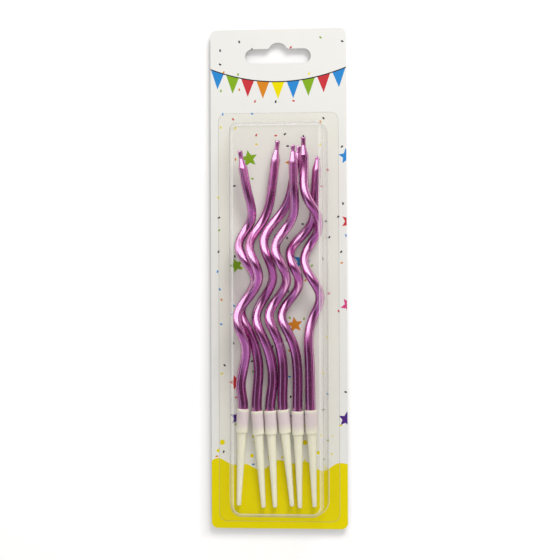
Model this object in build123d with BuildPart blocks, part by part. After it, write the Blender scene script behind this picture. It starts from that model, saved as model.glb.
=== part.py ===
"""Carded blister pack of spiral birthday candles in push-on holders, in millimetres.

The pack lies on its back: +Z points out of the blister, +Y towards the hang slot, and the
origin is the middle of the card's back face.
"""

import os
from dataclasses import dataclass
from math import cos, pi, radians, sin, sqrt, tan

from build123d import *

# Backing card and its hang slot
card_width = 66.0
card_length = 242.0
card_thickness = 0.45
card_corner = 3.0
slot_width = 32.0
slot_height = 7.2
slot_drop = 13.1  # from the card's top edge to the middle of the slot
slot_bump_width = 9.7
slot_bump_rise = 3.0
slot_bump_round = 1.0

# Blister of formed film
film = 0.35
flange_width = 58.6
flange_length = 198.0
flange_corner = 4.0
flange_margin = 3.4  # from the card's lower edge
bubble_width = 47.4
bubble_length = 189.4
bubble_depth = 17.6  # inside, above the card
bubble_corner_top = 5.0
bubble_corner_bottom = 7.0
bubble_margin = 6.9  # from the card's lower edge
bubble_draft = 6.0
bubble_edge = 2.4  # radius along the rim of the bubble's roof

# Wax rod, wound two turns about its own side
rod_radius = 2.2
coil_radius = 3.55
coil_turns = 2
coil_ease = 0.25  # share of the coil over which the winding starts, and stops
coil_spans = 12
cone_length = 4.6
cone_tip_radius = 1.0
foot_depth = 8.5  # how far the rod stands in its cup

# Wick
wick_radius = 0.6
wick_gap = 0.05
stub_radius = 0.85
stub_flare = 0.1

# Push-on holder
cup_radius = 2.95
cup_length = 11.5
cup_round = 0.6
cup_gap = 0.15  # between the rod and the cup's socket
socket_depth = 9.0
spike_length = 35.5
spike_radius = 2.3
spike_tip_radius = 1.05
spike_tip_round = 0.8

# How the set lies on the card
set_rise = 121.0  # from the card's lower edge to the line from which the seats are measured
rest_gap = 0.15
holder_rise = 2.3  # degrees that each holder tips up towards its candle


@dataclass
class Seat:
    """Where one candle and its holder lie: places in mm, leans and rises in degrees."""

    rim_x: float  # middle of the cup's rim
    rim_y: float
    holder_lean: float
    foot_x: float  # where the winding starts
    foot_y: float
    tail_lean: float
    top_x: float  # where the winding ends
    top_y: float
    top_z: float
    neck_lean: float
    neck_rise: float
    roll: float  # side of the coil on which the straight ends lie
    arch: float  # how far the middle of the coil is lifted by what lies under it
    shoulder_y: float
    wick_out: float


seats = [
    Seat(rim_x=-17.2, rim_y=-62.8, holder_lean=3.0, foot_x=-18.0, foot_y=-49.0, tail_lean=9.0,
         top_x=-2.8, top_y=43.0, top_z=4.5, neck_lean=7.0, neck_rise=-1.0,
         roll=-27, arch=5.6, shoulder_y=57.2, wick_out=4.1),
    Seat(rim_x=-10.5, rim_y=-63.8, holder_lean=-3.5, foot_x=-9.9, foot_y=-39.0, tail_lean=-8.5,
         top_x=-15.3, top_y=46.0, top_z=7.4, neck_lean=-10.0, neck_rise=-2.0,
         roll=42, arch=2.5, shoulder_y=52.9, wick_out=3.4),
    Seat(rim_x=-4.1, rim_y=-63.6, holder_lean=-2.5, foot_x=-2.7, foot_y=-47.5, tail_lean=-2.0,
         top_x=8.9, top_y=54.0, top_z=8.1, neck_lean=10.0, neck_rise=-3.0,
         roll=28, arch=1.5, shoulder_y=55.2, wick_out=3.0),
    Seat(rim_x=2.1, rim_y=-63.1, holder_lean=-5.0, foot_x=2.1, foot_y=-42.0, tail_lean=-3.5,
         top_x=8.3, top_y=45.5, top_z=14.3, neck_lean=-1.0, neck_rise=-1.0,
         roll=33, arch=1.9, shoulder_y=55.1, wick_out=2.6),
    Seat(rim_x=9.1, rim_y=-63.8, holder_lean=-1.0, foot_x=8.8, foot_y=-39.5, tail_lean=-6.0,
         top_x=18.1, top_y=42.5, top_z=7.4, neck_lean=4.5, neck_rise=-2.0,
         roll=48, arch=3.3, shoulder_y=52.0, wick_out=1.4),
    Seat(rim_x=15.4, rim_y=-63.3, holder_lean=-2.0, foot_x=14.8, foot_y=-36.0, tail_lean=-4.0,
         top_x=13.0, top_y=57.0, top_z=11.0, neck_lean=-1.5, neck_rise=3.5,
         roll=201, arch=-3.0, shoulder_y=58.4, wick_out=3.5),
]

card_foot = -card_length / 2
flange_y = card_foot + flange_margin + flange_length / 2
bubble_y = card_foot + bubble_margin + bubble_length / 2
set_y = card_foot + set_rise
socket_radius = rod_radius + cup_gap
channel_radius = wick_radius + wick_gap
rim_z = card_thickness + rest_gap + cup_radius + cup_length * tan(radians(holder_rise))


def slope(lean, rise):
    """Unit vector of a straight run that climbs the card with this lean and rise."""
    return Vector(tan(radians(lean)), 1, tan(radians(rise))).normalized()


def wound_share(u):
    """Share of the winding done at the share u of the coil, starting and stopping gently."""
    full = 1 / (1 - coil_ease)
    if u < coil_ease:
        return full * u * u / (2 * coil_ease)
    if u > 1 - coil_ease:
        return 1 - full * (1 - u) ** 2 / (2 * coil_ease)
    return full * (u - coil_ease / 2)


def coil_point(seat, u):
    """Point of the rod's centre line at the share u of its coil."""
    y = seat.foot_y + u * (seat.top_y - seat.foot_y)
    below, above = y - seat.foot_y, y - seat.top_y
    blend = u * u * (3 - 2 * u)
    tail, neck = slope(seat.tail_lean, holder_rise), slope(seat.neck_lean, seat.neck_rise)
    foot_z = rim_z + (seat.foot_y - seat.rim_y) * tan(radians(holder_rise))
    tail_x, tail_z = seat.foot_x + below * tail.X / tail.Y, foot_z + below * tail.Z / tail.Y
    neck_x, neck_z = seat.top_x + above * neck.X / neck.Y, seat.top_z + above * neck.Z / neck.Y
    start = radians(seat.roll)
    turn = start + 2 * pi * coil_turns * wound_share(u)
    x = tail_x * (1 - blend) + neck_x * blend + coil_radius * (cos(turn) - cos(start))
    z = tail_z * (1 - blend) + neck_z * blend + coil_radius * (sin(turn) - sin(start))
    return Vector(x, y, z + seat.arch * 16 * (blend * (1 - blend)) ** 2)


def coil_direction(seat, u, step=1e-4):
    """Unit vector along the rod's centre line at a share u inside its coil."""
    return (coil_point(seat, u + step) - coil_point(seat, u - step)).normalized()


def biarc(start, start_way, end, end_way):
    """Two tangent arcs from start to end that leave and arrive in the given directions."""
    span = end - start
    both = start_way + end_way
    bend = 2 * (1 - start_way.dot(end_way))
    reach = span.dot(span) / (span.dot(both) + sqrt(span.dot(both) ** 2 + bend * span.dot(span)))
    first, second = start + start_way * reach, end - end_way * reach
    middle = (first + second) * 0.5
    TangentArc(start, middle, tangent=start_way)
    TangentArc(middle, end, tangent=second - first)


def rim_point(seat):
    """Middle of the rim of a holder's cup."""
    return Vector(seat.rim_x, seat.rim_y, rim_z)


def shoulder_point(seat):
    """Point where the rod ends and its cone starts."""
    neck = slope(seat.neck_lean, seat.neck_rise)
    return coil_point(seat, 1) + neck * ((seat.shoulder_y - seat.top_y) / neck.Y)


def rod_line(seat):
    """Centre line of a rod from its foot in the cup, round its coil, to its shoulder."""
    holder = slope(seat.holder_lean, holder_rise)
    rim, top = rim_point(seat), coil_point(seat, 1)
    stations = [(rim, holder), (coil_point(seat, 0), slope(seat.tail_lean, holder_rise))]
    for n in range(1, coil_spans):
        stations.append((coil_point(seat, n / coil_spans), coil_direction(seat, n / coil_spans)))
    stations.append((top, slope(seat.neck_lean, seat.neck_rise)))
    with BuildLine() as line:
        Line(rim - holder * foot_depth, rim)
        for (start, start_way), (end, end_way) in zip(stations, stations[1:]):
            biarc(start, start_way, end, end_way)
        Line(top, shoulder_point(seat))
    return line.wires()[0]


def save(piece, name, up=0):
    """Move a finished piece up the card, label it and write its file."""
    solid = Pos(0, up, 0) * piece.part
    solid.label = name
    export_step(solid, f"parts/{name}.step")


def make_wax(seat, route):
    """Wound wax rod with a pointed end, holed along its whole length for the wick."""
    shoulder = Plane(origin=shoulder_point(seat), z_dir=slope(seat.neck_lean, seat.neck_rise))
    with BuildPart() as wax:
        with BuildSketch(Plane(origin=route @ 0, z_dir=route % 0)):
            Circle(rod_radius)
            Circle(channel_radius, mode=Mode.SUBTRACT)
        sweep(path=route)
        for plane, radius in ((shoulder, rod_radius), (shoulder.offset(cone_length), cone_tip_radius)):
            with BuildSketch(plane):
                Circle(radius)
                Circle(channel_radius, mode=Mode.SUBTRACT)
        loft()
    return wax


def make_wick(seat, route):
    """Cotton core along the whole rod, with a coated stub that stands out of the cone."""
    neck = slope(seat.neck_lean, seat.neck_rise)
    shoulder = Plane(origin=shoulder_point(seat), z_dir=neck)
    cone_end = shoulder.offset(cone_length)
    with BuildPart() as wick:
        with BuildSketch(Plane(origin=route @ 0, z_dir=route % 0)):
            Circle(wick_radius)
        sweep(path=route)
        with BuildSketch(shoulder):
            Circle(wick_radius)
        extrude(amount=cone_length)
        with BuildSketch(cone_end):
            Circle(stub_radius)
        with BuildSketch(cone_end.offset(seat.wick_out)):
            Circle(stub_radius + stub_flare)
        loft()
    return wick


def make_holder(seat):
    """Turned cup with a socket for the rod and a tapered spike."""
    axis = slope(seat.holder_lean, holder_rise)
    side = Vector(0, 0, 1).cross(axis).normalized()
    end = cup_length + spike_length
    with BuildPart() as holder:
        with BuildSketch(Plane(origin=rim_point(seat), x_dir=side, z_dir=side.cross(axis))) as profile:
            with BuildLine():
                Polyline(
                    (0, -end),
                    (spike_tip_radius, -end),
                    (spike_radius, -cup_length),
                    (cup_radius, -cup_length),
                    (cup_radius, 0),
                    (socket_radius, 0),
                    (socket_radius, -socket_depth),
                    (0, -socket_depth),
                    close=True,
                )
            make_face()
            fillet(profile.vertices().sort_by_distance((spike_tip_radius, -end))[0], spike_tip_round)
            fillet(profile.vertices().sort_by_distance((cup_radius, -cup_length))[0], cup_round)
        revolve(axis=Axis(rim_point(seat), axis))
    return holder


def bubble_solid(inset, depth, edge):
    """Tapered block with a rounded roof: the bubble's outside, or its hollow at an inset."""
    plane = Plane((0, bubble_y, card_thickness))
    with BuildPart() as block:
        with BuildSketch(plane) as base:
            Rectangle(bubble_width - 2 * inset, bubble_length - 2 * inset)
            fillet(base.vertices().group_by(Axis.Y)[-1], bubble_corner_top - inset)
            fillet(base.vertices().group_by(Axis.Y)[0], bubble_corner_bottom - inset)
        extrude(amount=depth, taper=bubble_draft)
        fillet(block.faces().sort_by(Axis.Z)[-1].edges(), edge)
    return block.part


def least_gap(one, other, skip=0):
    """Least room between two rods, or of one to itself past a skipped stretch, on points."""
    steps = 240
    ones = [one @ (n / steps) for n in range(steps + 1)]
    others = [other @ (n / steps) for n in range(steps + 1)]
    gaps = [(p - q).length for i, p in enumerate(ones) for j, q in enumerate(others)
            if abs(i - j) >= skip]
    return min(gaps) - 2 * rod_radius


os.makedirs("parts", exist_ok=True)

slot_y = card_length / 2 - slot_drop

with BuildPart() as backing_card:
    with BuildSketch():
        with BuildSketch(mode=Mode.PRIVATE) as hang_slot:
            SlotOverall(slot_width, slot_height)
            with Locations((0, slot_height / 2 + slot_bump_rise - slot_bump_width / 2)):
                Circle(slot_bump_width / 2)
            inner_corners = hang_slot.vertices().group_by(Axis.Y)[-1]
            fillet(inner_corners, slot_bump_round)
        RectangleRounded(card_width, card_length, card_corner)
        with Locations((0, slot_y)):
            add(hang_slot.sketch, mode=Mode.SUBTRACT)
    extrude(amount=card_thickness)
save(backing_card, "backing_card")

with BuildPart() as blister:
    with BuildSketch(Plane((0, flange_y, card_thickness))):
        RectangleRounded(flange_width, flange_length, flange_corner)
    extrude(amount=film)
    add(bubble_solid(0, bubble_depth + film, bubble_edge))
    add(bubble_solid(film, bubble_depth, bubble_edge - film), mode=Mode.SUBTRACT)
save(blister, "blister")

routes = [rod_line(seat) for seat in seats]
for number, (seat, route) in enumerate(zip(seats, routes), start=1):
    save(make_wax(seat, route), f"wax_{number}", set_y)
    save(make_wick(seat, route), f"wick_{number}", set_y)
    save(make_holder(seat), f"holder_{number}", set_y)

for first, one in enumerate(routes):
    print(f"wax_{first + 1} least gap to itself {least_gap(one, one, skip=30):.2f} mm")
    for second in range(first + 1, len(routes)):
        room = least_gap(one, routes[second])
        if room < 1:
            print(f"wax_{first + 1} to wax_{second + 1} least gap {room:.2f} mm")
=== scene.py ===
"""Looks of a carded blister pack of spiral birthday candles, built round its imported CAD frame."""

from dataclasses import dataclass
from math import cos, exp, pi, radians, sin, tan, tau

import bmesh
import bpy
from bpy.props import FloatProperty, FloatVectorProperty, IntProperty, PointerProperty
from mathutils import Matrix, Vector, noise


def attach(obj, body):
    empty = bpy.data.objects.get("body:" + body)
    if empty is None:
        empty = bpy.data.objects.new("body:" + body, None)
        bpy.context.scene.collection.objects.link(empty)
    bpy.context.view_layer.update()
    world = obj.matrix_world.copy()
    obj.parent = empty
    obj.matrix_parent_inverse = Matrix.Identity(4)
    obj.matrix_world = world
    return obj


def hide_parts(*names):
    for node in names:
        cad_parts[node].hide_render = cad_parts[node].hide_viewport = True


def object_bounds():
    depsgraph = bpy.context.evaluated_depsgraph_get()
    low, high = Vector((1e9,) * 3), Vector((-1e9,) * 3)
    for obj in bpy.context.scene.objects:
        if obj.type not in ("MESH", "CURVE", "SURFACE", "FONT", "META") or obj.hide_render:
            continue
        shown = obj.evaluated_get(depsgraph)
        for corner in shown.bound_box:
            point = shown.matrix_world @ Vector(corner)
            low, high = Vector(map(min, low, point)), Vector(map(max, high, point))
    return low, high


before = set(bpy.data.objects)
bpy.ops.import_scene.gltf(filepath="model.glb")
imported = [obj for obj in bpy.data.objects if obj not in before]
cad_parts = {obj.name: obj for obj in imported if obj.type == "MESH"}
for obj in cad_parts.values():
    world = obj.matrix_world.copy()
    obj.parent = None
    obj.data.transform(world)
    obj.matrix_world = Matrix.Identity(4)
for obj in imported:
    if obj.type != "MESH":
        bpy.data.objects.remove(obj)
cad_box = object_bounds()

bl_info = {
    "name": "Spiral Candle Pack",
    "version": (1, 0, 0),
    "blender": (4, 5, 0),
    "location": "View3D > Sidebar > Candle Pack",
    "description": "Finishes a carded pack of spiral birthday candles",
    "category": "Object",
}

MM = 0.001
CANDLES = range(1, 7)

# Routes of the rods, in millimetres and degrees
coil_radius = 3.55
coil_turns = 2
coil_ease = 0.25  # share of the coil over which the winding starts or stops
cone_length = 4.6
foot_depth = 8.5
holder_rise = 2.3
cup_radius = 2.95
cup_length = 11.5
card_top = 0.45
rest_gap = 0.15
rim_z = card_top + rest_gap + cup_radius + cup_length * tan(radians(holder_rise))

# Blister, in millimetres and degrees
film_thickness = 0.35
flange_width, flange_length, flange_corner, flange_y = 58.6, 198.0, 4.0, -18.6
bubble_width, bubble_length, bubble_y = 47.4, 189.4, -19.4
bubble_height = 17.95  # outside, above the card
bubble_corner_top, bubble_corner_bottom = 5.0, 7.0
bubble_draft = 6.0
bubble_edge = 2.4
bubble_foot = 0.8  # radius where the wall turns out into the flange
seal_gap = 0.03
roof_steps, foot_steps = 12, 8
roof_margin = 1.5  # flat ring inside the roof's round edge
foot_margin = 0.4  # flat ring outside the wall's foot
least_corner = 0.4
cut_edge = (  # inset and height of the rings round the flange's edge
    (0.5, film_thickness),
    (0.2, film_thickness),
    (0.06, film_thickness - 0.03),
    (0, film_thickness - 0.12),
    (0, 0.08),
    (0.06, 0),
    (0.5, 0),
)

# Rods, in millimetres
tail_end, tail_fade = 34.0, 9.0  # height above the cup where a tail slims, and how gently
cup_end, cup_fade = 0.5, 0.25  # height where a rod leaves its cup, and how gently
cup_squeeze = 0.14
swell, swell_rate, swell_shift = 0.012, 0.11, 7.3  # share of the radius, lumps in a mm, shift
shoulder_edge = 0.12
cone_shares = (0.02, 0.06, 0.15, 0.3, 0.5, 0.7, 0.85, 0.97, 1.0)
cone_hollow = 0.12  # share by which a cone's side is drawn in
cone_step, tip_edge = 0.02, 0.05

# Wicks, in millimetres
wick_sides, wick_step = 24, 6
core_reach = 0.99  # share of the cone that the core fills
folded_share = 0.66  # radius of a folded stub, as a share of a straight one
flute_depth, flute_twist = 0.1, 1.5
foot_flare, foot_fade, end_flare = 0.08, 6.0, 0.14
fray, fray_teeth, fray_turn = 0.26, 3, 2.1
cut_hollow = ((0.62, 0.1), (0.3, -0.35))  # share of the end's width, and height
fold_radius = 0.5
fold_aside = 0.45  # from the cone's axis to the stub's first leg
fold_foot, fold_start, fold_end = 0.25, 0.4, 0.12  # heights above the cone

# Holders, in millimetres; depths count down from the rim
axis_hole = 0.02
spike_end, spike_round = 47.0, 0.7
spike_nose = ((axis_hole, 0.0), (0.55, 0.04), (0.9, 0.25))  # radius, and height above the end
spike_tip, spike_spread, spike_bow = 1.07, 1.23, 1.1
spike_length, spike_steps = 34.5, 8
collar_round, collar_steps = 0.6, 6
collar_radius = 2.34
socket_radius, socket_depth = 2.35, 9.0
# Distance out from the radius of cup or socket, and depth
cup_side = ((-0.01, 8.0), (0, 5.0), (0, 2.0), (0, 0.3), (-0.03, 0.12), (-0.1, 0.03), (-0.17, 0.0))
socket_mouth = ((0.2, 0.0), (0.1, 0.05), (0.04, 0.2), (0.01, 1.0), (0, 5.0))
seam, seam_least = 0.035, 0.5  # height of the mould seam, and least radius that has it

# Floor, in metres, and its glow when seen, in millimetres and strengths
floor_half = 2.0
shadow_left, shadow_below, shadow_edge = 2.5, 1.5, 5.0  # where the floor's glow is held back, painting the card's shadow darker there
near_glow, far_glow, far_reach = 0.15, 0.4, (350, 1200)

# Lamps, in metres
lamp_target = Vector((0, -0.01, 0))
key_place, key_size = (0.26, 0.7, 0.46), (0.38, 0.33)
fill_place, fill_size = (0.1, -0.12, 0.8), (0.25, 0.25)

# Card, in millimetres: it fills the length and width of the CAD's box
card_half_width, card_half_length = cad_box[1][0] / MM, cad_box[1][1] / MM


@dataclass
class Seat:
    """Where one candle and its holder lie on the card."""

    rim: tuple  # x and y of the cup's rim
    holder_lean: float
    foot: tuple  # x and y where the winding starts
    tail_lean: float
    top: tuple  # place where the winding ends
    neck_lean: float
    neck_rise: float
    roll: float
    arch: float
    shoulder_y: float
    wick_out: float
    folded: bool = False


seats = {
    1: Seat((-17.2, -62.8), 3.0, (-18.0, -49.0), 9.0, (-2.8, 43.0, 4.5), 7.0, -1.0, -27, 5.6, 57.2, 4.1),
    2: Seat((-10.5, -63.8), -3.5, (-9.9, -39.0), -8.5, (-15.3, 46.0, 7.4), -10.0, -2.0, 42, 2.5, 52.9, 3.4),
    3: Seat((-4.1, -63.6), -2.5, (-2.7, -47.5), -2.0, (8.9, 54.0, 8.1), 10.0, -3.0, 28, 1.5, 55.2, 3.0),
    4: Seat((2.1, -63.1), -5.0, (2.1, -42.0), -3.5, (8.3, 45.5, 14.3), -1.0, -1.0, 33, 1.9, 55.1, 2.6),
    5: Seat((9.1, -63.8), -1.0, (8.8, -39.5), -6.0, (18.1, 42.5, 7.4), 4.5, -2.0, 48, 3.3, 52.0, 1.4, True),
    6: Seat((15.4, -63.3), -2.0, (14.8, -36.0), -4.0, (13.0, 57.0, 11.0), -1.5, 3.5, 201, -3.0, 58.4, 3.5),
}


def slope(lean, rise):
    """Unit vector of a straight run that climbs the card with this lean and rise."""
    return Vector((tan(radians(lean)), 1, tan(radians(rise)))).normalized()


def wound_share(u):
    """Share of the winding done at the share u of the coil, starting and stopping gently."""
    full = 1 / (1 - coil_ease)
    if u < coil_ease:
        return full * u * u / (2 * coil_ease)
    if u > 1 - coil_ease:
        return 1 - full * (1 - u) ** 2 / (2 * coil_ease)
    return full * (u - coil_ease / 2)


def coil_point(seat, u):
    """Point of a rod's centre line at the share u of its coil."""
    foot_x, foot_y = seat.foot
    top_x, top_y, top_z = seat.top
    y = foot_y + u * (top_y - foot_y)
    blend = u * u * (3 - 2 * u)
    tail, neck = slope(seat.tail_lean, holder_rise), slope(seat.neck_lean, seat.neck_rise)
    foot_z = rim_z + (foot_y - seat.rim[1]) * tan(radians(holder_rise))
    tail_point = Vector((foot_x, foot_y, foot_z)) + tail * ((y - foot_y) / tail.y)
    neck_point = Vector((top_x, top_y, top_z)) + neck * ((y - top_y) / neck.y)
    start = radians(seat.roll)
    turn = start + tau * coil_turns * wound_share(u)
    point = tail_point.lerp(neck_point, blend)
    point.x += coil_radius * (cos(turn) - cos(start))
    point.z += coil_radius * (sin(turn) - sin(start)) + seat.arch * 16 * (blend * (1 - blend)) ** 2
    return point


def rim_point(seat):
    """Middle of the rim of a holder's cup."""
    return Vector((*seat.rim, rim_z))


def shoulder_point(seat):
    """Point where a rod ends and its cone starts."""
    neck = slope(seat.neck_lean, seat.neck_rise)
    return Vector(seat.top) + neck * ((seat.shoulder_y - seat.top[1]) / neck.y)


def curve_between(start, start_way, end, end_way, steps):
    """Points of a smooth curve that leaves and arrives in the given directions, without its end."""
    reach = (end - start).length
    points = []
    for n in range(steps):
        t = n / steps
        points.append(
            start * (1 + 2 * t) * (1 - t) ** 2
            + start_way * reach * t * (1 - t) ** 2
            + end * t * t * (3 - 2 * t)
            - end_way * reach * t * t * (1 - t)
        )
    return points


def rod_line(seat, socket_steps=6, tail_steps=16, coil_steps=190, neck_steps=8):
    """Centre line of a rod from its foot in the cup to its shoulder."""
    holder, tail = slope(seat.holder_lean, holder_rise), slope(seat.tail_lean, holder_rise)
    rim, foot = rim_point(seat), coil_point(seat, 0)
    points = [rim - holder * foot_depth * (1 - n / socket_steps) for n in range(socket_steps)]
    points += curve_between(rim, holder, foot, tail, tail_steps)
    points += [coil_point(seat, n / coil_steps) for n in range(coil_steps)]
    top, shoulder = Vector(seat.top), shoulder_point(seat)
    points += [top.lerp(shoulder, n / neck_steps) for n in range(neck_steps + 1)]
    return points


def rings_along(points, sides, radius_of):
    """Rings of points square to a line; radius_of gives the radius at a point's number and angle."""
    rings = []
    ways = []
    last = len(points) - 1
    for n in range(len(points)):
        ways.append((points[min(n + 1, last)] - points[max(n - 1, 0)]).normalized())
    side = ways[0].orthogonal().normalized()
    for n, (point, way) in enumerate(zip(points, ways)):
        side = (side - way * side.dot(way)).normalized()
        other = way.cross(side)
        ring = []
        for k in range(sides):
            angle = tau * k / sides
            ring.append(point + (side * cos(angle) + other * sin(angle)) * radius_of(n, angle))
        rings.append(ring)
    return rings


def new_object(name, data):
    """Object in the scene that holds a mesh, a light or a lens."""
    made = bpy.data.objects.new(name, data)
    bpy.context.scene.collection.objects.link(made)
    return made


def mesh_of_rings(name, rings, round_trip=False):
    """Mesh object skinned over rings in millimetres, closed into a loop or capped at both ends."""
    sides = len(rings[0])
    points = [point * MM for ring in rings for point in ring]
    faces = []
    spans = len(rings) if round_trip else len(rings) - 1
    for n in range(spans):
        here, there = n * sides, (n + 1) % len(rings) * sides
        for k in range(sides):
            after = (k + 1) % sides
            faces.append((here + k, here + after, there + after, there + k))
    if not round_trip:
        faces.append(tuple(reversed(range(sides))))
        faces.append(tuple(range(len(points) - sides, len(points))))
    mesh = bpy.data.meshes.new(name)
    mesh.from_pydata(points, [], faces)
    shell = bmesh.new()
    shell.from_mesh(mesh)
    wrap = shell.loops.layers.uv.new("wrap")
    for n, face in enumerate(shell.faces):
        row, k = divmod(n, sides)
        corners = ((k, row), (k + 1, row), (k + 1, row + 1), (k, row + 1))
        for loop, (turn, level) in zip(face.loops, corners):
            loop[wrap].uv = (turn / sides, level / len(rings))
    bmesh.ops.recalc_face_normals(shell, faces=shell.faces)
    shell.to_mesh(mesh)
    shell.free()
    mesh.shade_smooth()
    return new_object(name, mesh)


def dress(piece, material, body, slot, *nodes):
    """Give a piece its material and body, in place of the CAD nodes that it stands for. The slot is not
    used.
    """
    piece.data.materials.clear()
    piece.data.materials.append(material)
    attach(piece, body)
    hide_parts(*nodes)


class Shading:
    """Node tree of one material or world, with short calls that add its nodes."""

    def __init__(self, owner, out="OutputMaterial"):
        self.owner = owner
        owner.use_nodes = True
        self.tree = owner.node_tree
        self.tree.nodes.clear()
        self.out = self.node(out)

    def feed(self, socket, value):
        """Link a socket to another, or set its value."""
        if isinstance(value, bpy.types.NodeSocket):
            self.tree.links.new(value, socket)
        elif socket.type == "RGBA":
            socket.default_value = (*value[:3], 1)
        else:
            socket.default_value = value

    def node(self, kind, inputs=None, **settings):
        """Add a shader node, whose kind is given without its prefix."""
        made = self.tree.nodes.new("ShaderNode" + kind)
        for key, value in settings.items():
            setattr(made, key, value)
        for key, value in (inputs or {}).items():
            self.feed(made.inputs[key], value)
        return made

    def math(self, operation, *values, clamp=False):
        made = self.node("Math", operation=operation, use_clamp=clamp)
        for socket, value in zip(made.inputs, values):
            self.feed(socket, value)
        return made.outputs[0]

    def times(self, product, *factors):
        """A value times one or more factors."""
        for factor in factors:
            product = self.math("MULTIPLY", product, factor)
        return product

    def mix(self, share, first, second, blend="MIX"):
        made = self.node("Mix", data_type="RGBA", blend_type=blend)
        for index, value in ((0, share), (6, first), (7, second)):
            self.feed(made.inputs[index], value)
        return made.outputs[2]

    def spread(self, value, low, high, to_low=0.0, to_high=1.0):
        """Map a value from one range to another, held at the ends."""
        made = self.node("MapRange")
        for index, given in enumerate((value, low, high, to_low, to_high)):
            self.feed(made.inputs[index], given)
        return made.outputs[0]

    def ramp(self, value, stops, blend="EASE"):
        """Colour picked from stops of a place and a colour, by a value from 0 to 1."""
        made = self.node("ValToRGB", {"Fac": value})
        made.color_ramp.interpolation = blend
        elements = made.color_ramp.elements
        while len(elements) < len(stops):
            elements.new(1)
        for element, (place, colour) in zip(elements, stops):
            element.position = place
            element.color = (*colour, 1)
        return made.outputs[0]

    def steps(self, value, colours):
        """One of several colours, picked by a value from 0 to 1."""
        stops = [(index / len(colours), colour) for index, colour in enumerate(colours)]
        return self.ramp(value, stops, "CONSTANT")

    def place(self):
        """The surface's own coordinates, in millimetres."""
        coordinates = self.node("TexCoord").outputs["Object"]
        scaled = self.node("VectorMath", {0: coordinates, "Scale": 1 / MM}, operation="SCALE")
        return scaled.outputs[0]

    def stretched(self, place, factors):
        """Coordinates multiplied by a factor for each axis."""
        made = self.node("VectorMath", {0: place, 1: factors}, operation="MULTIPLY")
        return made.outputs[0]

    def reach(self, x, y):
        """Distance of x and y from their origin."""
        squares = self.math("ADD", self.math("POWER", x, 2.0), self.math("POWER", y, 2.0))
        return self.math("SQRT", squares)

    def split(self, vector):
        made = self.node("SeparateXYZ", {0: vector})
        return made.outputs

    def grain(self, place, size, detail=2.0, roughness=0.5):
        """Noise whose lumps are about so many millimetres wide."""
        made = self.node(
            "TexNoise",
            {"Vector": place, "Scale": 1 / size, "Detail": detail, "Roughness": roughness},
        )
        return made.outputs[0]

    def bump(self, height, depth):
        """Normal of a relief whose full height is so many millimetres deep."""
        made = self.node("Bump", {"Strength": 1.0, "Distance": depth * MM, "Height": height})
        return made.outputs[0]

    def blend(self, share, first, second):
        """Shader that is a share of the way from one shader to another."""
        return self.node("MixShader", {0: share, 1: first.outputs[0], 2: second.outputs[0]})

    def finish(self, shader):
        """Make a shader node the surface, and return the material or world."""
        self.tree.links.new(shader.outputs[0], self.out.inputs["Surface"])
        return self.owner

    def principled(self, inputs):
        """Make the usual shader the surface, and return the material."""
        return self.finish(self.node("BsdfPrincipled", inputs))


def new_material(name):
    return Shading(bpy.data.materials.new(name))


def darker(colour, share):
    """A colour times a share."""
    return [share * channel for channel in colour]


def scatter(tree, place, cell, looseness):
    """Places strewn about a sheet: x and y from the nearest one, turned at random, and three draws."""
    cells = tree.node(
        "TexVoronoi",
        {"Vector": place, "Scale": 1 / cell, "Randomness": looseness},
        voronoi_dimensions="2D",
    )
    offset = tree.node("VectorMath", {0: place, 1: cells.outputs["Position"]}, operation="SUBTRACT")
    draws = tree.node("SeparateColor", {0: cells.outputs["Color"]}).outputs
    turn = tree.times(draws[2], tau)
    around = {"Vector": offset.outputs[0], "Angle": turn}
    turned = tree.node("VectorRotate", around, rotation_type="Z_AXIS")
    x, y, _ = tree.split(turned.outputs[0])
    return x, y, draws


def star_mask(tree, x, y, radius, points=5, waist=0.46):
    """Mask of a star about the origin of x and y."""
    half = pi / points
    angle = tree.math("PINGPONG", tree.math("ARCTAN2", y, x), half)
    inner_x, inner_y = waist * cos(half), waist * sin(half)
    along = tree.times(tree.math("COSINE", angle), inner_y)
    across = tree.times(tree.math("SINE", angle), 1 - inner_x)
    edge = tree.times(tree.reach(x, y), tree.math("ADD", along, across))
    return tree.math("LESS_THAN", edge, tree.times(radius, inner_y))


def wave_edge(tree, x, level):
    """Height of the wavy top of the lower band: a long and a short wave about its level."""
    edge = level
    for height, rate, start in ((1.8, 0.19, 0.6), (1.2, 0.43, 2.1)):
        wave = tree.math("SINE", tree.math("MULTIPLY_ADD", x, rate, start))
        edge = tree.math("MULTIPLY_ADD", wave, height, edge)
    return edge


def pennants(tree, x, y, hang=102, sag=6.5, pitch=7.4, drop=8.5, flag_share=0.43, string_half=0.28):
    """Masks of a string across the card and of its pennants, and a draw for each pennant."""
    bow = tree.math("POWER", tree.math("DIVIDE", x, card_half_width), 2.0)
    string_y = tree.math("MULTIPLY_ADD", bow, sag, hang - sag)
    below = tree.math("SUBTRACT", string_y, y)
    number = tree.math("ROUND", tree.math("DIVIDE", x, pitch))
    aside = tree.math("ABSOLUTE", tree.math("MULTIPLY_ADD", number, -pitch, x))
    width = tree.spread(below, 0, drop, flag_share * pitch, 0)
    flag = tree.times(tree.math("LESS_THAN", aside, width), tree.math("GREATER_THAN", below, 0.0))
    string = tree.math("LESS_THAN", tree.math("ABSOLUTE", below), string_half)
    draw_step, draw_start = 0.382, 0.07
    draw = tree.math("FRACT", tree.math("MULTIPLY_ADD", number, draw_step, draw_start))
    return string, flag, draw


def band_dots(tree, place, rise, cell=8.0, looseness=0.6, height=24, widest=2.1):
    """Mask of dots that shrink as they rise above the band."""
    x, y, draws = scatter(tree, place, cell, looseness)
    radius = tree.times(tree.spread(rise, 0, height, widest, 0.0), draws[0])
    return tree.math("LESS_THAN", tree.reach(x, y), radius)


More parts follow.
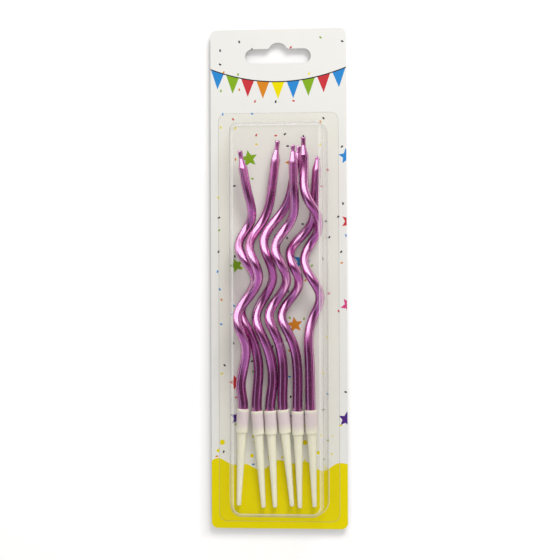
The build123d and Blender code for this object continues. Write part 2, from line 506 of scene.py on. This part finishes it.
def strewn_flecks(tree, place, inks, cell=8.5, looseness=0.9, half=(0.62, 0.38), bare=0.42):
    """Mask and ink of small flecks; the bare share of their places stays empty."""
    x, y, draws = scatter(tree, place, cell, looseness)
    flecks = tree.times(
        tree.math("LESS_THAN", tree.math("ABSOLUTE", x), half[0]),
        tree.math("LESS_THAN", tree.math("ABSOLUTE", y), half[1]),
        tree.math("GREATER_THAN", draws[0], bare),
    )
    return flecks, tree.steps(draws[1], inks)


def strewn_stars(tree, place, level, inks, cell=26, looseness=0.5, top=74.0, bare=0.38):
    """Mask and ink of stars whose level on the card is under the top; the bare share stays empty."""
    x, y, draws = scatter(tree, place, cell, looseness)
    least, growth = 3.3, 1.2
    stars = tree.times(
        star_mask(tree, x, y, tree.math("MULTIPLY_ADD", draws[0], growth, least)),
        tree.math("GREATER_THAN", draws[0], bare),
        tree.math("LESS_THAN", level, top),
    )
    return stars, tree.steps(draws[1], inks)


def party_print(tree, look, place):
    """Colour of the card's coated front."""
    x, y, _ = tree.split(place)
    edge = wave_edge(tree, x, look.band_level / MM)
    ink = tree.mix(tree.grain(place, size=9), look.band, darker(look.band, 0.93))
    dark = (0.025, 0.022, 0.03)
    fleck_inks = [dark, look.red, dark, look.blue, dark, look.band, look.green, look.orange]
    star_inks = [look.red, look.orange, look.green, look.blue, look.violet, look.pink]
    flag_inks = [look.band, look.red, look.blue, look.orange, look.green]
    string, flags, flag_draw = pennants(tree, x, y)
    colour = tree.mix(tree.grain(place, size=22, detail=3), look.paper, darker(look.paper, 0.955))
    for mask, paint in (
        strewn_flecks(tree, place, fleck_inks),
        strewn_stars(tree, place, y, star_inks),
        (band_dots(tree, place, tree.math("SUBTRACT", y, edge)), ink),
        (tree.math("LESS_THAN", y, edge), ink),
        (flags, tree.steps(flag_draw, flag_inks)),
        (string, dark),
    ):
        colour = tree.mix(mask, colour, paint)
    return colour


def printed_board(look):
    """Coated board with a party print in front, plain pulp on its edges and back."""
    tree = new_material("printed_board")
    place = tree.place()
    facing = tree.split(tree.node("TexCoord").outputs["Normal"])[2]
    front = tree.math("GREATER_THAN", facing, 0.5)
    fibre = tree.grain(place, size=0.5, detail=6, roughness=0.7)
    pulp = tree.mix(fibre, look.pulp, darker(look.pulp, 0.8))
    pulp_roughness, coated_roughness, fibre_roughness = 0.85, 0.4, 0.1
    rough = tree.spread(front, 0, 1, pulp_roughness, coated_roughness)
    relief = tree.math("MULTIPLY_ADD", fibre, 0.35, tree.grain(place, size=14))
    return tree.principled(
        {
            "Base Color": tree.mix(front, pulp, party_print(tree, look, place)),
            "Roughness": tree.math("MULTIPLY_ADD", fibre, fibre_roughness, rough),
            "Specular IOR Level": 0.05,
            "Normal": tree.bump(relief, depth=0.05),
        }
    )


def slope_band(tree, upright, rise, fall, height=1.0):
    """Mask of the slopes between two ranges: it rises over one and falls over the other."""
    rising = tree.spread(upright, *rise, 0.0, height)
    falling = tree.spread(upright, *fall, 0.0, height)
    return tree.math("MINIMUM", rising, falling)


def painted_bend_lines(tree, upright):
    """Mask of the film's bends for a painted highlight: a clear line where a bend starts and ends, fainter
    between.
    """
    start = slope_band(tree, upright, (0.985, 0.96), (0.86, 0.92))
    middle = slope_band(tree, upright, (0.96, 0.9), (0.3, 0.5), 0.55)
    end = slope_band(tree, upright, (0.62, 0.5), (0.2, 0.32))
    return tree.math("MAXIMUM", tree.math("MAXIMUM", start, end), middle)


def film_mirror(tree, rays, entering, head_on=0.02, steepness=7.0, gloss=0.7):
    """Share of light that the film's two faces mirror, more at a slant."""
    facing = tree.node("LayerWeight", {"Blend": 0.5}).outputs["Facing"]
    glance = tree.math("POWER", facing, steepness)
    one_face = tree.math("MULTIPLY_ADD", glance, 1 - head_on, head_on)
    twice = tree.times(one_face, 2.0)
    both_faces = tree.math("DIVIDE", twice, tree.math("ADD", one_face, 1.0))
    seen = tree.math("ADD", rays["Is Camera Ray"], rays["Is Glossy Ray"], clamp=True)
    return tree.times(both_faces, entering, seen, gloss)


def film_crease(tree, place, middle=(3.2, -32.2), half=(3.125, 2.0)):
    """Relief of one crumpled spot on the bubble's roof."""
    x, y, _ = tree.split(place)
    off_x = tree.math("DIVIDE", tree.math("SUBTRACT", x, middle[0]), half[0])
    off_y = tree.math("DIVIDE", tree.math("SUBTRACT", y, middle[1]), half[1])
    off = tree.math("ADD", tree.math("POWER", off_x, 2.0), tree.math("POWER", off_y, 2.0))
    crumple = tree.grain(place, size=0.8, detail=1)
    return tree.times(tree.spread(off, 0.35, 1.0, 1.0, 0.0), crumple)


def clear_film(look):
    """Thin clear sheet: it lets light straight through, mirrors at a slant, and has a white painted
    highlight along its bends, partly standing for stress whitening.
    """
    tree = new_material("clear_film")
    place = tree.place()
    rays = tree.node("LightPath").outputs
    entering = tree.math("SUBTRACT", 1.0, tree.node("NewGeometry").outputs["Backfacing"])
    way_x, _, way_z = tree.split(tree.node("TexCoord").outputs["Normal"])
    side_wall = tree.spread(tree.math("ABSOLUTE", way_x), 0.75, 0.9)
    upright = tree.math("ABSOLUTE", way_z)
    wall = tree.spread(upright, 0.6, 0.3)

    draw_lines = tree.grain(tree.stretched(place, (1.0, 0.003, 0.45)), size=0.8)
    streaked = tree.times(side_wall, tree.spread(draw_lines, 0.53, 0.62))
    bands = tree.spread(tree.grain(tree.stretched(place, (1.0, 0.0, 0.0)), size=3.5), 0.4, 0.6, 0.45, 1.0)
    shadow = tree.times(rays["Is Shadow Ray"], wall, bands)
    drawn = tree.mix(streaked, look.tint, look.streak)
    through = tree.node("BsdfTransparent", {"Color": tree.mix(shadow, drawn, look.shadow)})

    ripple = tree.grain(place, size=look.ripple / MM, detail=1)
    crease_relief, draw_relief = 2.2, 0.06
    relief = tree.math("MULTIPLY_ADD", film_crease(tree, place), crease_relief, ripple)
    relief = tree.math("MULTIPLY_ADD", tree.times(draw_lines, side_wall), draw_relief, relief)
    scuff = tree.grain(place, size=1.3, detail=5, roughness=0.7)
    roughness = tree.spread(scuff, 0.4, 0.75, 0.05, 0.16)
    gloss = tree.node(
        "BsdfGlossy",
        {"Color": (1, 1, 1), "Roughness": roughness, "Normal": tree.bump(relief, depth=0.35)},
    )
    clear = tree.blend(film_mirror(tree, rays, entering), through, gloss)

    # Painted highlight along the bends: a white diffuse sheet shaded as if it faced straight up, partly
    # standing for stress whitening
    up = tree.node("CombineXYZ", {2: 1.0}).outputs[0]
    bend_highlight = tree.node("BsdfDiffuse", {"Color": (0.95, 0.95, 0.9), "Normal": up})
    bend_highlight_share = 0.42
    haze = tree.times(painted_bend_lines(tree, upright), entering, bend_highlight_share)
    return tree.finish(tree.blend(haze, clear, bend_highlight))


def metallic_lacquer(name, look, roughness):
    """Pearl lacquer over wax: a tinted mirror of fine flakes under a thin clear coat."""
    tree = new_material(name)
    place = tree.place()
    clouds = tree.grain(place, size=7, detail=3)
    flakes = tree.node("TexVoronoi", {"Vector": place, "Scale": 1 / look.flake * MM})
    fleck = tree.node("SeparateColor", {0: flakes.outputs["Color"]}).outputs[0]
    tint = tree.mix(tree.spread(clouds, 0.35, 0.65), look.lacquer, darker(look.lacquer, 0.72))
    colour = tree.mix(tree.times(fleck, 0.1), tint, (0.9, 0.4, 0.75))
    around, length, _ = tree.split(tree.node("UVMap").outputs[0])
    turn = tree.times(around, tau)
    round_rod = tree.node(
        "CombineXYZ",
        {0: tree.math("COSINE", turn), 1: tree.math("SINE", turn), 2: tree.times(length, 0.9)},
    )
    relief = tree.times(tree.grain(place, size=2.4, detail=3), 0.4)
    relief = tree.math("MULTIPLY_ADD", fleck, 0.05, relief)
    streaks = tree.grain(round_rod.outputs[0], size=0.16, detail=3)
    relief = tree.math("MULTIPLY_ADD", streaks, 0.35, relief)
    clouding = 0.08
    return tree.principled(
        {
            "Base Color": colour,
            "Metallic": 1.0,
            "Roughness": tree.spread(clouds, 0.3, 0.7, roughness, roughness + clouding),
            "Coat Weight": 1.0,
            "Coat Roughness": 0.07,
            "Coat IOR": 3.0,
            "Specular Tint": (0.25, 0.06, 0.22),
            "Normal": tree.bump(relief, depth=0.09),
        }
    )


def milky_plastic(look):
    """Natural moulded plastic, cloudy enough for the wax in the cup to tint it."""
    tree = new_material("milky_plastic")
    place = tree.place()
    depth = tree.node("Attribute", attribute_name="depth").outputs["Fac"]
    over_wax = tree.times(tree.spread(depth, 0.1, 1.8), tree.spread(depth, 10.6, 6.5))
    body = tree.mix(tree.grain(place, size=6), look.plastic, darker(look.plastic, 0.965))
    haze = tree.grain(place, size=0.35, detail=4)
    return tree.principled(
        {
            "Base Color": tree.mix(over_wax, body, look.shadowed),
            "Roughness": tree.spread(haze, 0.3, 0.7, 0.3, 0.42),
            "Subsurface Weight": 0.5,
            "Subsurface Radius": (1.0, 0.95, 0.85),
            "Subsurface Scale": 1.2 * MM,
            "Normal": tree.bump(haze, depth=0.012),
        }
    )


class CardLook(bpy.types.PropertyGroup):
    """Board and inks of the backing card."""

    paper: FloatVectorProperty(
        name="Paper", description="Coated front", subtype="COLOR", default=(0.8, 0.795, 0.765)
    )
    pulp: FloatVectorProperty(
        name="Pulp", description="Uncoated back and edges", subtype="COLOR", default=(0.62, 0.6, 0.56)
    )
    band: FloatVectorProperty(
        name="Band", description="Yellow ink", subtype="COLOR", default=(0.8, 0.68, 0.003)
    )
    red: FloatVectorProperty(name="Red", description="Red ink", subtype="COLOR", default=(0.55, 0.04, 0.05))
    orange: FloatVectorProperty(
        name="Orange", description="Orange ink", subtype="COLOR", default=(0.65, 0.23, 0.02)
    )
    green: FloatVectorProperty(
        name="Green", description="Green ink", subtype="COLOR", default=(0.22, 0.4, 0.02)
    )
    blue: FloatVectorProperty(
        name="Blue", description="Blue ink", subtype="COLOR", default=(0.03, 0.24, 0.6)
    )
    violet: FloatVectorProperty(
        name="Violet", description="Violet ink", subtype="COLOR", default=(0.08, 0.025, 0.21)
    )
    pink: FloatVectorProperty(
        name="Pink", description="Pink ink", subtype="COLOR", default=(0.62, 0.06, 0.22)
    )
    band_level: FloatProperty(
        name="Band level", description="Mean top of the band, up the card", unit="LENGTH", default=-0.09
    )


class FilmLook(bpy.types.PropertyGroup):
    """Clear film of the blister."""

    tint: FloatVectorProperty(
        name="Tint", description="Light let through", subtype="COLOR", default=(0.996, 0.994, 0.982)
    )
    streak: FloatVectorProperty(
        name="Streak", description="Light through wall streaks", subtype="COLOR", default=(0.8, 0.785, 0.77)
    )
    shadow: FloatVectorProperty(
        name="Shadow", description="Lamplight through walls", subtype="COLOR", default=(0.92, 0.912, 0.888)
    )
    ripple: FloatProperty(name="Ripple", description="Width of its ripples", unit="LENGTH", default=0.016)


class CandleLook(bpy.types.PropertyGroup):
    """Sizes and lacquer of the candles."""

    tail: FloatProperty(name="Tail", description="Radius above the cup", unit="LENGTH", default=0.00244)
    rod: FloatProperty(name="Rod", description="Radius of coil and neck", unit="LENGTH", default=0.0022)
    tip: FloatProperty(name="Tip", description="Radius at the cone's end", unit="LENGTH", default=0.00108)
    channel: FloatProperty(
        name="Channel", description="Radius of the hole for the wick", unit="LENGTH", default=0.00065
    )
    core: FloatProperty(name="Wick", description="Radius in the wax", unit="LENGTH", default=0.0006)
    stub: FloatProperty(name="Stub", description="Radius of a coated stub", unit="LENGTH", default=0.00096)
    sides: IntProperty(name="Sides", description="Faces round a rod", default=32, min=8, max=96)
    flake: FloatProperty(name="Flake", description="Width of a metal flake", unit="LENGTH", default=0.00022)
    lacquer: FloatVectorProperty(
        name="Lacquer", description="Metallic lacquer", subtype="COLOR", default=(0.64, 0.085, 0.45)
    )


class HolderLook(bpy.types.PropertyGroup):
    """Moulded holders."""

    plastic: FloatVectorProperty(
        name="Plastic", description="Cloudy plastic", subtype="COLOR", default=(0.9, 0.885, 0.73)
    )
    shadowed: FloatVectorProperty(
        name="Over wax", description="Plastic over wax", subtype="COLOR", default=(0.76, 0.66, 0.68)
    )
    sides: IntProperty(name="Sides", description="Faces round a holder", default=48, min=12, max=128)


class StageLook(bpy.types.PropertyGroup):
    """Floor, lamps and camera."""

    floor: FloatVectorProperty(
        name="Floor", description="Pale floor", subtype="COLOR", default=(0.95, 0.95, 0.95)
    )
    drop: FloatProperty(name="Drop", description="From card to floor", unit="LENGTH", default=0.002)
    room: FloatVectorProperty(
        name="Room", description="Colour of the even light", subtype="COLOR", default=(1, 0.985, 0.97)
    )
    even: FloatProperty(name="Even light", description="Strength of the even light", default=0.6)
    mirror: FloatProperty(name="Mirrored light", description="Strength of the room in mirrors", default=1.0)
    key: FloatProperty(name="Key", description="Soft lamp beyond the slot", unit="POWER", default=4.9)
    fill: FloatProperty(name="Fill", description="Soft lamp overhead", unit="POWER", default=0.8)
    aim: FloatVectorProperty(
        name="Aim", description="Middle of the view", subtype="TRANSLATION", default=(0.00059, -0.00083, 0)
    )
    distance: FloatProperty(name="Distance", description="From camera to card", unit="LENGTH", default=0.55)
    aside: FloatProperty(
        name="Aside", description="Camera's angle to the right", subtype="ANGLE", default=0.0733
    )
    lean: FloatProperty(name="Lean", description="Camera's angle below", subtype="ANGLE", default=0.0119)
    roll: FloatProperty(name="Roll", description="Turn about the view", subtype="ANGLE", default=-0.0039)
    span: FloatProperty(name="Span", description="View's width at the card", unit="LENGTH", default=0.2716)


class CandlePackLook(bpy.types.PropertyGroup):
    """All the sizes and colours of the pack."""

    card: PointerProperty(type=CardLook, name="Card", description="Board and inks")
    film: PointerProperty(type=FilmLook, name="Film", description="Clear film")
    candle: PointerProperty(type=CandleLook, name="Candles", description="Rods, wicks and lacquer")
    holder: PointerProperty(type=HolderLook, name="Holders", description="Moulded holders")
    stage: PointerProperty(type=StageLook, name="Stage", description="Floor, lamps and camera")


class PrintCard(bpy.types.Operator):
    """Print the backing card"""

    bl_idname = "candle_pack.print_card"
    bl_label = "Print Card"

    def execute(self, context):
        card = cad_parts["backing_card"]
        card.data.materials.clear()
        card.data.materials.append(printed_board(context.scene.candle_pack.card))
        return {"FINISHED"}


def rounded_ring(half_x, low_y, high_y, low_corner, high_corner, z, arc_steps=9):
    """Points round a rectangle with one radius at its lower corners and one at its upper ones."""
    corners = (
        (half_x - high_corner, high_y - high_corner, high_corner, 0),
        (high_corner - half_x, high_y - high_corner, high_corner, 90),
        (low_corner - half_x, low_y + low_corner, low_corner, 180),
        (half_x - low_corner, low_y + low_corner, low_corner, 270),
    )
    points = []
    for x, y, corner, start in corners:
        for n in range(arc_steps + 1):
            angle = radians(start + 90 * n / arc_steps)
            points.append(Vector((x + corner * cos(angle), y + corner * sin(angle), z)))
    return points


def bubble_ring(inset, height):
    """Outline of the bubble, drawn in from its base, at a height above the card."""
    half_y = bubble_length / 2 - inset
    return rounded_ring(
        bubble_width / 2 - inset,
        bubble_y - half_y,
        bubble_y + half_y,
        max(bubble_corner_bottom - inset, least_corner),
        max(bubble_corner_top - inset, least_corner),
        card_top + seal_gap + height,
    )


def flange_ring(inset, height):
    """Outline of the flange, drawn in from its edge, at a height above the card."""
    half_x, half_y = flange_width / 2 - inset, flange_length / 2 - inset
    corner = flange_corner - inset
    level = card_top + seal_gap + height
    return rounded_ring(half_x, flange_y - half_y, flange_y + half_y, corner, corner, level)


def blister_rings():
    """Rings over the bubble's roof, down its wall, out over the flange and back on the inside."""
    draft = radians(bubble_draft)
    sweep = radians(90 - bubble_draft)
    top_z = bubble_height - seal_gap - bubble_edge
    top_inset = top_z * tan(draft) + bubble_edge / cos(draft)
    foot_z = film_thickness + bubble_foot
    foot_inset = foot_z * tan(draft) - bubble_foot / cos(draft)

    def one_side(edge, foot):
        rings = [bubble_ring(top_inset + roof_margin, top_z + edge)]
        for n in range(roof_steps, -1, -1):
            angle = draft + sweep * n / roof_steps
            rings.append(bubble_ring(top_inset - edge * cos(angle), top_z + edge * sin(angle)))
        for n in range(foot_steps + 1):
            angle = -draft - sweep * n / foot_steps
            rings.append(bubble_ring(foot_inset + foot * cos(angle), foot_z + foot * sin(angle)))
        return rings + [bubble_ring(foot_inset - foot_margin, foot_z - foot)]

    outside = one_side(bubble_edge, bubble_foot)
    inside = one_side(bubble_edge - film_thickness, bubble_foot + film_thickness)
    return outside + [flange_ring(inset, height) for inset, height in cut_edge] + inside[::-1]


class FormBlister(bpy.types.Operator):
    """Form the clear film over the candles"""

    bl_idname = "candle_pack.form_blister"
    bl_label = "Form Blister"

    def execute(self, context):
        piece = mesh_of_rings("blister_film", blister_rings())
        dress(piece, clear_film(context.scene.candle_pack.film), "blister", "clear_film", "blister")
        return {"FINISHED"}


def fading(value, end, fade):
    """Share that falls smoothly from 1 to 0 about an end."""
    return 1 / (1 + exp((value - end) / fade))


def rod_radius(look, points, n, seed):
    """Radius of a rod at one of its points, in mm: stout above the cup, slim from the coil on."""
    tail, rod = look.tail / MM, look.rod / MM
    up = points[n].y - points[0].y - foot_depth
    radius = rod + (tail - rod) * fading(up, tail_end, tail_fade)
    radius -= cup_squeeze * fading(up, cup_end, cup_fade)
    return radius * (1 + swell * noise.noise(Vector((points[n].y * swell_rate, seed * swell_shift, 0.0))))


def wax_rings(look, seat, seed):
    """Rings over a rod and its cone, then back down its wick channel."""
    neck = slope(seat.neck_lean, seat.neck_rise)
    shoulder = shoulder_point(seat)
    line = rod_line(seat)[:-1] + [shoulder - neck * shoulder_edge]
    radii = [rod_radius(look, line, n, seed) for n in range(len(line))]
    neck_radius, tip = radii[-1], look.tip / MM
    for share in cone_shares:
        line.append(shoulder + neck * cone_length * share)
        drawn_in = share * (1 + cone_hollow * (1 - share))
        radii.append(neck_radius + (tip - neck_radius) * drawn_in - cone_step)
    radii[-1] -= tip_edge
    outer = rings_along(line, look.sides, lambda n, angle: radii[n])
    channel = look.channel / MM
    inner = rings_along(line[::wick_step] + [line[-1]], look.sides, lambda n, angle: channel)
    return outer + inner[::-1]


class WindCandles(bpy.types.Operator):
    """Wind the wax rods"""

    bl_idname = "candle_pack.wind_candles"
    bl_label = "Wind Candles"

    def execute(self, context):
        look = context.scene.candle_pack.candle
        lacquer = metallic_lacquer("metallic_wax", look, 0.23)
        for number in CANDLES:
            rings = wax_rings(look, seats[number], number)
            piece = mesh_of_rings(f"candle_wax_{number}", rings, round_trip=True)
            dress(piece, lacquer, f"candle_{number}", "metallic_wax", f"wax_{number}")
        return {"FINISHED"}


def stub_line(seat, steps=10):
    """Centre line of the coated stub from the cone's end, straight or folded over on itself."""
    neck = slope(seat.neck_lean, seat.neck_rise)
    start = shoulder_point(seat) + neck * cone_length
    if not seat.folded:
        return [start + neck * seat.wick_out * n / steps for n in range(steps + 1)]
    aside = neck.cross(Vector((0, 0, 1))).normalized()
    first_leg = start - aside * fold_aside
    middle = first_leg + neck * fold_start + aside * fold_radius
    points = [start.lerp(first_leg, 0.5), first_leg + neck * fold_foot]
    for n in range(steps + 1):
        angle = pi * (1 - n / steps)
        points.append(middle + (aside * cos(angle) + neck * sin(angle)) * fold_radius)
    points.append(first_leg + aside * 2 * fold_radius + neck * fold_end)
    return points


def wick_rings(look, seat, seed, lobes=6):
    """Rings over the wick's core in the wax and its fluted stub, down into the hollow cut end."""
    neck = slope(seat.neck_lean, seat.neck_rise)
    core = rod_line(seat)[::wick_step] + [shoulder_point(seat) + neck * cone_length * core_reach]
    stub = stub_line(seat)
    core_radius, stub_radius = look.core / MM, look.stub / MM
    if seat.folded:
        stub_radius *= folded_share

    def stub_at(n, angle):
        share = n / (len(stub) - 1)
        flute = 1 + flute_depth * cos(lobes * angle + flute_twist * share + seed)
        flare = foot_flare * exp(-share * foot_fade) + end_flare * share * share
        return (stub_radius + flare) * flute

    rings = rings_along(core, wick_sides, lambda n, angle: core_radius)
    rings += rings_along(stub, wick_sides, stub_at)
    end = stub[-1]
    end_way = (end - stub[-2]).normalized()
    end_ring = rings[-1]
    for k, point in enumerate(end_ring):
        tooth = sin(fray_teeth * tau * k / wick_sides + seed * fray_turn)
        end_ring[k] = point + end_way * fray * (1 + tooth)
    for share, height in cut_hollow:
        rings.append([end + end_way * height + (point - end) * share for point in end_ring])
    return rings


class TwistWicks(bpy.types.Operator):
    """Set the wicks in the candles"""

    bl_idname = "candle_pack.twist_wicks"
    bl_label = "Twist Wicks"

    def execute(self, context):
        look = context.scene.candle_pack.candle
        coated = metallic_lacquer("coated_wick", look, 0.3)
        for number in CANDLES:
            piece = mesh_of_rings(f"candle_wick_{number}", wick_rings(look, seats[number], number))
            dress(piece, coated, f"candle_{number}", "wick", f"wick_{number}")
        return {"FINISHED"}


def holder_profile():
    """Radius and depth below the rim of a holder's outline, from its tip up and into the socket."""
    profile = [(radius, spike_end - height) for radius, height in spike_nose]
    for n in range(spike_steps + 1):
        share = n / spike_steps
        depth = spike_end - spike_round - spike_length * share
        profile.append((spike_tip + spike_spread * share ** spike_bow, depth))
    profile += [(collar_radius - 0.01, cup_length + 0.12), (collar_radius + 0.06, cup_length)]
    for n in range(collar_steps + 1):
        angle = radians(90 * n / collar_steps)
        depth = cup_length - collar_round + collar_round * cos(angle)
        profile.append((collar_radius + collar_round * sin(angle), depth))
    profile += [(cup_radius + out, depth) for out, depth in cup_side]
    profile += [(socket_radius + out, depth) for out, depth in socket_mouth]
    profile += [(socket_radius, socket_depth - 0.2), (socket_radius - 0.1, socket_depth)]
    return profile + [(axis_hole, socket_depth)]


def holder_rings(seat, profile, sides):
    """Rings of a holder about its axis, with a mould seam along two sides."""
    axis = slope(seat.holder_lean, holder_rise)
    side = Vector((0, 0, 1)).cross(axis).normalized()
    other = axis.cross(side)
    rings = []
    for radius, depth in profile:
        ring = []
        for k in range(sides):
            angle = tau * k / sides
            around = side * cos(angle) + other * sin(angle)
            seamed = k % (sides // 2) == 0 and radius > seam_least
            reach = radius + seam if seamed else radius
            ring.append(rim_point(seat) - axis * depth + around * reach)
        rings.append(ring)
    return rings


class MouldHolders(bpy.types.Operator):
    """Mould the holders with their cups and spikes"""

    bl_idname = "candle_pack.mould_holders"
    bl_label = "Mould Holders"

    def execute(self, context):
        look = context.scene.candle_pack.holder
        plastic = milky_plastic(look)
        profile = holder_profile()
        depths = [depth for _, depth in profile for _ in range(look.sides)]
        for number in CANDLES:
            rings = holder_rings(seats[number], profile, look.sides)
            piece = mesh_of_rings(f"candle_holder_{number}", rings)
            piece.data.attributes.new("depth", "FLOAT", "POINT").data.foreach_set("value", depths)
            dress(piece, plastic, f"holder_{number}", "holder_plastic", f"holder_{number}")
        return {"FINISHED"}


def pale_floor(look):
    """Pale floor that glows a little when seen, and more far from the pack; round the card, most to its
    left and below, the glow is held back, which paints the card's shadow darker there.
    """
    tree = new_material("pale_floor")
    rays = tree.node("LightPath").outputs
    seen = tree.math("ADD", rays["Is Camera Ray"], rays["Is Transmission Ray"])
    seen = tree.math("ADD", seen, rays["Is Glossy Ray"], clamp=True)
    place = tree.place()
    x, y, _ = tree.split(place)

    def past_painted_shadow(along, shift, half):
        return tree.math("SUBTRACT", tree.math("ABSOLUTE", tree.math("ADD", along, shift)), half)

    off_x = past_painted_shadow(x, shadow_left, card_half_width)
    off_y = past_painted_shadow(y, shadow_below, card_half_length)
    # Painted shadow: no glow inside the card's shifted outline, rising to the near glow past the shadow's
    # edge
    glow_past_painted_shadow = tree.spread(tree.math("MAXIMUM", off_x, off_y), 0.0, shadow_edge, 0.0, near_glow)
    reach = tree.node("VectorMath", {0: place}, operation="LENGTH").outputs["Value"]
    glow = tree.math("ADD", glow_past_painted_shadow, tree.spread(reach, *far_reach, 0.0, far_glow))
    return tree.principled(
        {
            "Base Color": look.floor,
            "Roughness": 0.7,
            "Specular IOR Level": 0.1,
            "Emission Color": (1, 1, 1),
            "Emission Strength": tree.times(seen, glow),
        }
    )


def lay_floor(look):
    """Square floor a little below the card."""
    half = floor_half
    mesh = bpy.data.meshes.new("floor")
    corners = [(-half, -half, 0), (half, -half, 0), (half, half, 0), (-half, half, 0)]
    mesh.from_pydata(corners, [], [(0, 1, 2, 3)])
    mesh.materials.append(pale_floor(look))
    floor_piece = new_object("floor", mesh)
    floor_piece.location.z = -look.drop


def soft_lamp(name, place, size, power):
    """White rectangular soft lamp that looks at the pack, and that mirrors don't show."""
    light = bpy.data.lights.new(name, "AREA")
    light.shape = "RECTANGLE"
    light.size, light.size_y = size
    light.energy = power
    lamp = new_object(name, light)
    lamp.location = place
    lamp.visible_glossy = False
    lamp.rotation_euler = (lamp_target - Vector(place)).to_track_quat("-Z", "Y").to_euler()


def studio_room(look):
    """Room that looks white and lights evenly, and that mirrors show as dim with windows round it."""
    tree = Shading(bpy.data.worlds.new("room"), "OutputWorld")
    rays = tree.node("LightPath").outputs
    x, y, _ = tree.split(tree.node("TexCoord").outputs["Generated"])

    def along(value, *stops):
        placed = [((place + 1) / 2, colour) for place, colour in stops]
        return tree.ramp(tree.spread(value, -1, 1), placed, "LINEAR")

    black, below, front = (0, 0, 0), (1.6, 1.6, 1.6), (0.52, 0.3, 0.6)
    left, right, glass = (0.5, 0.57, 0.72), (0.46, 0.3, 0.5), (2.4, 2.5, 2.65)
    bright_end = [(-1.0, below), (-0.965, below), (-0.94, front), (-0.55, front)]
    dark_middle = [(-0.25, (0.11, 0.066, 0.094)), (-0.08, (0.046, 0.019, 0.028))]
    far_end = [(0.04, (0.1, 0.05, 0.066)), (0.2, (0.215, 0.126, 0.18)), (1.0, (0.2, 0.13, 0.19))]
    dim = along(y, *bright_end, *dark_middle, *far_end)
    left_strip = [(-0.93, black), (-0.86, left), (-0.74, left), (-0.6, black)]
    right_strip = [(0.6, black), (0.74, right), (0.85, right), (0.93, black)]
    strips = along(x, *left_strip, *right_strip)
    across = tree.math("MINIMUM", tree.spread(x, -1.0, -0.75, 0.1, 1.0), tree.spread(x, 0.2, 0.6, 1.0, 0.0))
    beyond = tree.math("MINIMUM", tree.spread(y, 0.2, 0.42), tree.spread(y, 1.0, 0.93))
    window = tree.mix(tree.times(across, beyond), black, glass)
    shown = tree.mix(1.0, tree.mix(1.0, dim, strips, "ADD"), window, "ADD")
    even = tree.node("Background", {"Color": look.room, "Strength": look.even})
    mirror = tree.node("Background", {"Color": shown, "Strength": look.mirror})
    white = tree.node("Background", {"Color": (1, 1, 1), "Strength": 1.0})
    seen = tree.math("ADD", rays["Is Camera Ray"], rays["Is Transmission Ray"], clamp=True)
    return tree.finish(tree.blend(seen, tree.blend(rays["Is Glossy Ray"], even, mirror), white))


def aim_camera(look):
    """Camera above the card, a little to the right of its middle and below it."""
    lens = bpy.data.cameras.new("camera")
    lens.sensor_width = 36.0
    lens.lens = lens.sensor_width * look.distance / look.span
    eye = new_object("camera", lens)
    away = cos(look.aside)
    back = Vector((sin(look.aside), -sin(look.lean) * away, cos(look.lean) * away))
    side = Vector((0, 1, 0)).cross(back).normalized()
    upright = Matrix((side, back.cross(side), back)).transposed()
    eye.location = Vector(look.aim) + back * look.distance
    eye.rotation_euler = (upright @ Matrix.Rotation(look.roll, 3, "Z")).to_euler()
    bpy.context.scene.camera = eye


class SetStage(bpy.types.Operator):
    """Lay the floor and set the lamps and the camera"""

    bl_idname = "candle_pack.set_stage"
    bl_label = "Set Stage"

    def execute(self, context):
        look = context.scene.candle_pack.stage
        lay_floor(look)
        context.scene.world = studio_room(look)
        soft_lamp("key", key_place, key_size, look.key)
        soft_lamp("fill", fill_place, fill_size, look.fill)
        aim_camera(look)
        context.scene.view_settings.view_transform = "Standard"
        return {"FINISHED"}


class CandlePackPanel(bpy.types.Panel):
    """Sizes, colours and steps of the candle pack"""

    bl_idname = "VIEW3D_PT_candle_pack"
    bl_label = "Candle Pack"
    bl_space_type = "VIEW_3D"
    bl_region_type = "UI"
    bl_category = "Candle Pack"

    def draw(self, context):
        look = context.scene.candle_pack
        for operator in operators:
            self.layout.operator(operator.bl_idname)
        for group in (look.card, look.film, look.candle, look.holder, look.stage):
            box = self.layout.box()
            for name in group.bl_rna.properties.keys():
                if name not in {"rna_type", "name"}:
                    box.prop(group, name)


groups = (CardLook, FilmLook, CandleLook, HolderLook, StageLook, CandlePackLook)
operators = (PrintCard, FormBlister, WindCandles, TwistWicks, MouldHolders, SetStage)


def register():
    for part in (*groups, *operators, CandlePackPanel):
        bpy.utils.register_class(part)
    bpy.types.Scene.candle_pack = PointerProperty(type=CandlePackLook)


def unregister():
    del bpy.types.Scene.candle_pack
    for part in reversed((*groups, *operators, CandlePackPanel)):
        bpy.utils.unregister_class(part)


def main():
    register()
    bpy.ops.candle_pack.print_card()
    bpy.ops.candle_pack.form_blister()
    bpy.ops.candle_pack.wind_candles()
    bpy.ops.candle_pack.twist_wicks()
    bpy.ops.candle_pack.mould_holders()
    bpy.ops.candle_pack.set_stage()


if __name__ == "__main__":
    main()
